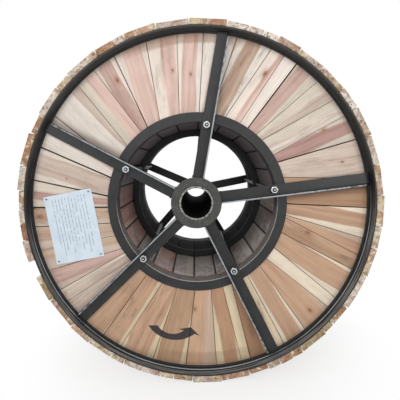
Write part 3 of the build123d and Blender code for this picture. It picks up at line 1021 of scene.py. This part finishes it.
class DRUM_OT_stage(Step, bpy.types.Operator):
    """Set the camera, the lamps, the sky and the pale floor"""

    bl_idname = "drum.stage"
    bl_label = "Set the stage"

    def build(self, settings):
        bpy.context.scene.view_settings.view_transform = "Standard"
        self.aim_camera()
        for name, (place, width, power, share) in LAMPS.items():
            self.hang_lamp(name, place, width, getattr(settings, power) * share)
        self.open_sky(settings)
        self.lay_floor()

    def aim_camera(self):
        data = bpy.data.cameras.new("photo_camera")
        data.sensor_width = CAMERA_SENSOR
        data.lens = CAMERA_LENS
        data.shift_x, data.shift_y = CAMERA_SHIFT
        data.clip_start = 0.01
        camera = put("photo_camera", data)
        pan = Matrix.Rotation(math.radians(CAMERA_PAN), 4, "Z")
        tilt = Matrix.Rotation(math.radians(CAMERA_TILT), 4, "X")
        roll = Matrix.Rotation(math.radians(CAMERA_ROLL), 4, "Z")
        camera.matrix_world = Matrix.Translation(CAMERA_PLACE) @ pan @ tilt @ roll
        bpy.context.scene.camera = camera

    def hang_lamp(self, name, place, size, power):
        data = bpy.data.lights.new(name, "AREA")
        data.shape = "DISK"
        data.size = size
        data.energy = power
        lamp = put(name, data)
        lamp.location = place
        lamp.rotation_euler = (-Vector(place)).to_track_quat("-Z", "Y").to_euler()

    def seen(self, nodes):
        """1 for what the camera sees, by itself or in metal or glass."""
        path = nodes.add("LightPath").socket.node
        keys = ("Is Camera Ray", "Is Glossy Ray", "Is Transmission Ray")
        straight, glossy, through = [Shade(nodes, path.outputs[key]) for key in keys]
        return (straight + glossy + through).least(1.0)

    def open_sky(self, settings):
        world = bpy.data.worlds.new("sky")
        bpy.context.scene.world = world
        nodes = Nodes(world)
        light = nodes.add("Background", {"Color": (1, 1, 1, 1), "Strength": settings.sky_level})
        white = nodes.add("Background", {"Color": (1, 1, 1, 1), "Strength": 1.0})
        both = nodes.add("MixShader", {0: self.seen(nodes), 1: light, 2: white})
        nodes.add("OutputWorld", {"Surface": both})

    def lay_floor(self):
        mesh = bmesh.new()
        bmesh.ops.create_grid(mesh, x_segments=8, y_segments=8, size=FLOOR_REACH)
        bmesh.ops.translate(mesh, verts=mesh.verts, vec=(0, 0, FLOOR_LEVEL))
        floor = put("floor", mesh_data("floor", mesh))
        material, nodes = new_material("pale_floor")
        x, y, _ = nodes.split(nodes.place())
        away = 0.65 + span(x, y).rise(*SHADOW_RADII) * 0.35
        plain = nodes.add("BsdfDiffuse", {"Color": (0.9, 0.9, 0.9, 1)})
        white = nodes.add("Emission", {"Color": (1, 1, 1, 1), "Strength": 1.0})
        both = nodes.add("MixShader", {0: self.seen(nodes) * away, 1: plain, 2: white})
        nodes.add("OutputMaterial", {"Surface": both})
        floor.data.materials.append(material)


class DRUM_OT_steel(Step, bpy.types.Operator):
    """Paint the rims, rings, spokes, tube, collar and hoop"""

    bl_idname = "drum.steel"
    bl_label = "Paint the steel frame"

    def build(self, settings):
        paint = steel_material("black_paint", settings)
        special = {
            "rim": steel_material("rim_paint_with_sheen", settings, gloss=0.42, marks=rolled_rim),
            "spoke": steel_material("spoke_paint", settings, gloss=0.3, marks=bright_toes),
            "arbor_tube": steel_material(
                "tube_paint", settings, gloss=0.5, marks=sawn_tube, specular=0.1,
            ),
            "collar": steel_material("hub_paint", settings, marks=spattered),
            "inner_ring": steel_material("ring_paint", settings, marks=bright_lip),
        }
        for number in SECTORS:
            low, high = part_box(f"tie_rod_{number}")
            special[f"tie_rod_{number}"] = steel_material(
                f"rod_paint_{number}", settings, gloss=0.45, marks=rod_tip((low + high) / 2),
            )
        for name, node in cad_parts.items():
            if node.material_slots[0].material.name.startswith("black_steel"):
                fitting = [finish for part, finish in special.items() if part in name]
                node.material_slots[0].material = fitting[0] if fitting else paint


class DRUM_OT_fixings(Step, bpy.types.Operator):
    """Plate the nuts"""

    bl_idname = "drum.fixings"
    bl_label = "Plate the fixings"

    def build(self, settings):
        zinc = zinc_material("zinc_plating", settings)
        for name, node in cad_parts.items():
            if name.endswith("_nuts"):
                node.material_slots[0].material = zinc


class DRUM_OT_face_boards(Step, bpy.types.Operator):
    """Lay the tapered boards that show between the spokes of both flanges"""

    bl_idname = "drum.face_boards"
    bl_label = "Lay the face boards"

    def build(self, settings):
        half = (TIMBER_JOINT - TIMBER_FACE) / 2
        near_timber = timber_material(
            "face_timber", ring_gap=5 * MM, line_depth=0.07, weather=0.06, end_dark=0.25, paint=face_marks,
            joints=(half, -half),
        )
        far_timber = timber_material(
            "far_face_timber", ring_gap=5 * MM, line_depth=0.08, weather=0.12, end_dark=0.25,
            paint=dark_mouth, joints=(half, -half),
        )
        draw = random.Random(SEEDS["face"])
        self.lay(draw, "front", -1, face_look, near_timber, settings)
        self.lay(draw, "back", 1, far_look, far_timber, settings)

    def lay(self, draw, side, outward, look_of, timber, settings):
        """Lay the face boards of one flange, sector by sector."""
        for number in SECTORS:
            node = f"{side}_boards_{number}"
            boards = boards_of(node, outward)
            looks = [look_of(draw, board) for board in boards]
            timber_piece(
                f"{side}_face_timber_{number}", node, boards, looks, timber,
                settings.board_edge, BOARD_CUTS, face_bend(settings),
            )


class DRUM_OT_lining(Step, bpy.types.Operator):
    """Lay the second layer of boards, where the cable is wound"""

    bl_idname = "drum.lining"
    bl_label = "Lay the lining boards"

    def build(self, settings):
        half = (BARREL_END - TIMBER_JOINT) / 2
        timber = timber_material(
            "lining_timber", ring_gap=5 * MM, line_depth=0.08, weather=0.2, end_dark=0.25, paint=dark_mouth,
            joints=(half, -half),
        )
        draw = random.Random(SEEDS["lining"])
        for side, outward in (("front", 1), ("back", -1)):
            boards = boards_of(f"{side}_lining", outward)
            looks = [common_look(draw, board, *draw.choice(LINING_TONES)) for board in boards]
            timber_piece(
                f"{side}_lining_timber", f"{side}_lining", boards, looks, timber,
                settings.board_edge, BOARD_CUTS, lining_bend,
            )


class DRUM_OT_staves(Step, bpy.types.Operator):
    """Set the staves of the barrel round the hoop"""

    bl_idname = "drum.staves"
    bl_label = "Set the barrel staves"

    def build(self, settings):
        timber = timber_material(
            "stave_timber", ring_gap=4 * MM, line_depth=0.12, weather=0.25, end_dark=0.3, paint=barrel_dirt_and_shade,
            specular=0.1,
        )
        draw = random.Random(SEEDS["staves"])
        boards = boards_of("barrel_staves")
        looks = []
        for board in boards:
            warm = any(first < board.angle() < last for first, last in WARM_ANGLES)
            tones = draw.choice(WARM_STAVES if warm else GREY_STAVES)
            looks.append(common_look(draw, board, *tones))
        timber_piece(
            "barrel_stave_timber", "barrel_staves", boards, looks, timber,
            settings.board_edge, BOARD_CUTS, still,
        )


class DRUM_OT_battens(Step, bpy.types.Operator):
    """Nail the lagging battens round both rims"""

    bl_idname = "drum.battens"
    bl_label = "Nail the lagging battens"

    def build(self, settings):
        timber = timber_material(
            "batten_timber", ring_gap=4 * MM, line_depth=0.16, weather=0.12, end_dark=0.12,
            paint=mottled_ends,
        )
        draw = random.Random(SEEDS["battens"])
        groups = []
        for number in SECTORS:
            boards = boards_of(f"lagging_battens_{number}")
            if number == 1:
                boards = sorted(boards, key=lambda board: (board.angle() + BATTEN_START) % 360)
            groups.append(boards)
        everyone = [board for boards in groups for board in boards]
        looks = []
        for board, tone, spread in zip(everyone, BATTEN_TONES, spreads(everyone)):
            sapwood = draw.choice(("linen", "dun", "sand", "straw"))
            look = common_look(draw, board, sapwood, tone, knot_chance=0.5)
            look["edge"] = draw.uniform(0.8, 2.8) * MM
            look["wane"] = max(draw.uniform(-2, 4), 0)
            look["spread"] = spread
            looks.append(look)
        for number, boards in enumerate(groups, 1):
            timber_piece(
                f"batten_timber_{number}", f"lagging_battens_{number}", boards, looks[:len(boards)], timber,
                settings.board_edge, BATTEN_CUTS, batten_bend,
            )
            looks = looks[len(boards):]


class DRUM_OT_welds(Step, bpy.types.Operator):
    """Weld the spokes to the rims, rings and hub"""

    bl_idname = "drum.welds"
    bl_label = "Weld the frame"

    def build(self, settings):
        draw = random.Random(SEEDS["welds"])
        size = settings.weld_radius
        mesh = bmesh.new()
        for side in (1, -1):
            hub = COLLAR_RADIUS if side == 1 else TUBE_RADIUS
            for angle in SPOKE_ANGLES:
                self.weld_spoke(mesh, draw, angle, side, hub, size)
        ring_bead(mesh, draw, TUBE_RADIUS + 0.5 * MM, COLLAR_FACE + 0.4 * MM, COLLAR_BEAD)
        paint = bpy.data.materials["black_paint"]
        new_piece("weld_beads", mesh, paint)

    def weld_spoke(self, mesh, draw, angle, side, hub, size):
        """Beads along both edges of a spoke's flat leg at the ring and the rim, and across its root."""
        out = on_circle(1, angle, 0)
        aside = on_circle(1, angle + 90, 0)
        level = Vector((0, SPOKE_FACE * side, 0))
        for edge in (-SPOKE_HEEL, SPOKE_WIDTH - SPOKE_HEEL):
            line = level + aside * edge
            for first, last in SPOKE_WELDS:
                bead(mesh, draw, line + out * first, line + out * last, size * 0.8)
        root = level - Vector((0, 2 * MM * side, 0)) + out * (hub + 0.6 * MM)
        bead(mesh, draw, root - aside * SPOKE_HEEL, root + aside * (SPOKE_WIDTH - SPOKE_HEEL), size)


class DRUM_OT_nails(Step, bpy.types.Operator):
    """Drive the nails of the battens and of the lining"""

    bl_idname = "drum.nails"
    bl_label = "Drive the nails"

    def build(self, settings):
        zinc = bpy.data.materials["zinc_plating"]
        draw = random.Random(SEEDS["nails"])
        mesh = bmesh.new()
        for number in SECTORS:
            for board in boards_of(f"lagging_battens_{number}"):
                top = max(board.local(corner).z for corner in board.corners)
                for side in (-1, 1):
                    for station, aside in BATTEN_NAILS:
                        spot = board.middle + board.outward * (top - NAIL_HEAD)
                        spot = spot + board.across * board.width * (aside + draw.uniform(-0.05, 0.05))
                        spot.y = side * station + draw.uniform(-3, 3) * MM
                        self.drive(mesh, spot, board.outward, settings.nail_radius)
        new_piece("batten_nails", mesh, zinc)
        mesh = bmesh.new()
        for side, outward in (("front", 1), ("back", -1)):
            for board in boards_of(f"{side}_lining", outward):
                for along, aside in LINING_NAILS:
                    spot = board.middle + board.run * board.length * (along + draw.uniform(-0.02, 0.02))
                    spot = spot + board.across * board.width * aside * (0.75 + 0.6 * along)
                    spot.y = outward * BARREL_END
                    spot = spot - board.outward * 0.3 * MM
                    self.drive(mesh, spot, board.outward, settings.nail_radius)
        new_piece("lining_nails", mesh, zinc)

    def drive(self, mesh, spot, outward, radius):
        """A flat nail head, slightly domed, that stands just proud of the timber."""
        turn = Vector((0, 0, 1)).rotation_difference(outward).to_matrix().to_4x4()
        bmesh.ops.create_cone(
            mesh, cap_ends=True, segments=12, radius1=radius, radius2=radius * 0.8, depth=NAIL_HEAD,
            matrix=Matrix.Translation(spot) @ turn,
        )


class DRUM_OT_label(Step, bpy.types.Operator):
    """Tack the laminated sheet to the face boards"""

    bl_idname = "drum.label"
    bl_label = "Tack the label"

    def build(self, settings):
        width, height = settings.label_size
        columns, rows = LABEL_CELLS
        mesh = bmesh.new()
        bmesh.ops.create_grid(mesh, x_segments=columns, y_segments=rows, size=0.5)
        sheet = mesh.loops.layers.uv.new("sheet")
        for face in mesh.faces:
            for loop in face.loops:
                loop[sheet].uv = (loop.vert.co.x + 0.5, loop.vert.co.y + 0.5)
        for vert in mesh.verts:
            u, v = vert.co.x, vert.co.y
            billow = LABEL_BILLOW * (0.25 - u * u) * (1 + 0.6 * math.sin(7 * v))
            curl = LABEL_CURL * max(0, abs(v) - 0.42) * 12
            vert.co = self.on_sheet(u * width, v * height, LABEL_LIFT + billow + curl)
        bmesh.ops.recalc_face_normals(mesh, faces=mesh.faces)
        piece = new_piece("laminated_label", mesh, label_material("laminated_paper", settings))
        tacks = bmesh.new()
        for u in (-TACK_ASIDE, TACK_ASIDE):
            for v in (-TACK_ABOVE, TACK_ABOVE):
                spot = self.on_sheet(u * width, v * height, TACK_STAND)
                dab(tacks, spot, TACK_RADIUS, (1, 0.5, 1), 2)
        new_piece("label_tacks", tacks, bpy.data.materials["black_paint"])

    def on_sheet(self, aside, above, lift):
        """A point on the drum, from its place on the sheet and how far it stands off the boards."""
        turn = Matrix.Rotation(math.radians(LABEL_TURN), 4, "Y")
        return Matrix.Translation(LABEL_MIDDLE) @ (turn @ Vector((aside, TIMBER_FACE - lift, above)))


class DRUM_PT_panel(bpy.types.Panel):
    """The drum's operators, in the order in which they are used"""

    bl_idname = "DRUM_PT_panel"
    bl_label = "Cable Drum"
    bl_space_type = "VIEW_3D"
    bl_region_type = "UI"
    bl_category = "Cable Drum"

    def draw(self, context):
        settings = context.scene.cable_drum
        for key in settings.__annotations__:
            self.layout.prop(settings, key)
        for operator in OPERATORS:
            self.layout.operator(operator.bl_idname)


OPERATORS = [
    DRUM_OT_stage, DRUM_OT_steel, DRUM_OT_fixings, DRUM_OT_face_boards, DRUM_OT_lining, DRUM_OT_staves,
    DRUM_OT_battens, DRUM_OT_welds, DRUM_OT_nails, DRUM_OT_label,
]


def register():
    for cls in (DrumSettings, *OPERATORS, DRUM_PT_panel):
        bpy.utils.register_class(cls)
    bpy.types.Scene.cable_drum = bpy.props.PointerProperty(type=DrumSettings)


def unregister():
    del bpy.types.Scene.cable_drum
    for cls in reversed((DrumSettings, *OPERATORS, DRUM_PT_panel)):
        bpy.utils.unregister_class(cls)


def main():
    """Register the add-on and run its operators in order."""
    register()
    for operator in OPERATORS:
        group, name = operator.bl_idname.split(".")
        getattr(getattr(bpy.ops, group), name)()


if __name__ == "__main__":
    main()
